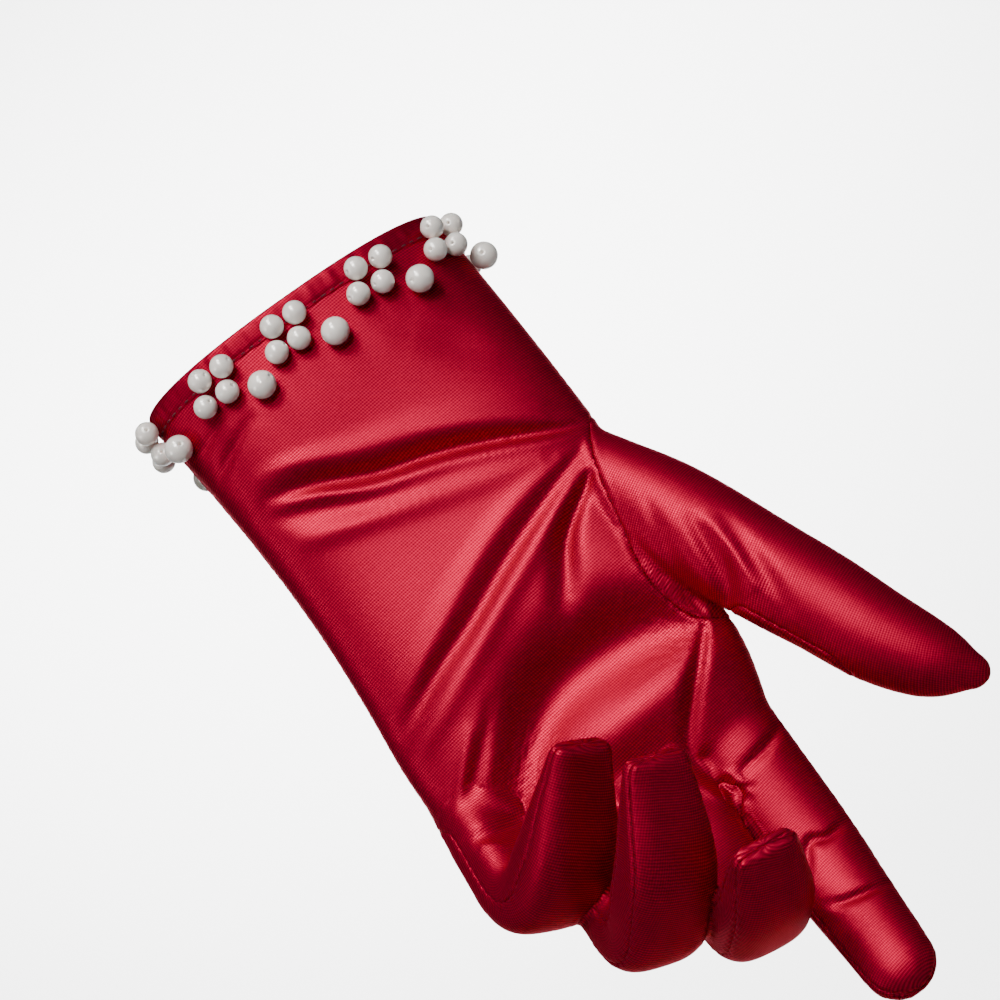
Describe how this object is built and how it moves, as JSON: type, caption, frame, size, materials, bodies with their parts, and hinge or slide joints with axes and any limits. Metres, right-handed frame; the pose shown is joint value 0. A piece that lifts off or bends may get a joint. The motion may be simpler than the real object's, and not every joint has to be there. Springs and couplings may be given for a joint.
{
  "type": "wrist length dress glove",
  "caption": "Left satin glove for dress wear, worn form with the index finger and thumb held out, a turned wrist hem and beaded motifs below the rim.",
  "frame": {"origin": "centre of the wrist opening, level with the rim, where the glove sits on the wrist", "axes": "+Z out of the glove through the wrist opening, +X to the thumb side, -Y to the palm side"},
  "size_m": [0.1301, 0.0882, 0.2212],
  "materials": {
    "satin_panels": "deep red satin tricot, semi-gloss",
    "satin_hem": "deep red satin, turned and stitched",
    "pearl": "cream pearl coating"
  },
  "bodies": {
    "root": {"palm_panel": "satin_panels", "back_panel": "satin_panels", "thumb": "satin_panels", "fourchette_index_middle": "satin_panels", "fourchette_middle_ring": "satin_panels", "fourchette_ring_little": "satin_panels", "turned_hem": "satin_hem", "pearl_1_upper_left": "pearl", "pearl_1_upper_right": "pearl", "pearl_1_lower_right": "pearl", "pearl_1_lower_left": "pearl", "pearl_1_large": "pearl", "pearl_2_upper_left": "pearl", "pearl_2_upper_right": "pearl", "pearl_2_lower_right": "pearl", "pearl_2_lower_left": "pearl", "pearl_2_large": "pearl", "pearl_3_upper_left": "pearl", "pearl_3_upper_right": "pearl", "pearl_3_lower_right": "pearl", "pearl_3_lower_left": "pearl", "pearl_3_large": "pearl", "pearl_4_upper_left": "pearl", "pearl_4_upper_right": "pearl", "pearl_4_lower_right": "pearl", "pearl_4_lower_left": "pearl", "pearl_4_large": "pearl", "pearl_5_upper_left": "pearl", "pearl_5_upper_right": "pearl", "pearl_5_lower_right": "pearl", "pearl_5_lower_left": "pearl", "pearl_5_large": "pearl", "pearl_6_upper_left": "pearl", "pearl_6_upper_right": "pearl", "pearl_6_lower_right": "pearl", "pearl_6_lower_left": "pearl", "pearl_6_large": "pearl", "pearl_7_upper_left": "pearl", "pearl_7_upper_right": "pearl", "pearl_7_lower_right": "pearl", "pearl_7_lower_left": "pearl", "pearl_7_large": "pearl", "pearl_8_upper_left": "pearl", "pearl_8_upper_right": "pearl", "pearl_8_lower_right": "pearl", "pearl_8_lower_left": "pearl", "pearl_8_large": "pearl", "pearl_9_upper_left": "pearl", "pearl_9_upper_right": "pearl", "pearl_9_lower_right": "pearl", "pearl_9_lower_left": "pearl", "pearl_9_large": "pearl"}
  },
  "joints": []
}
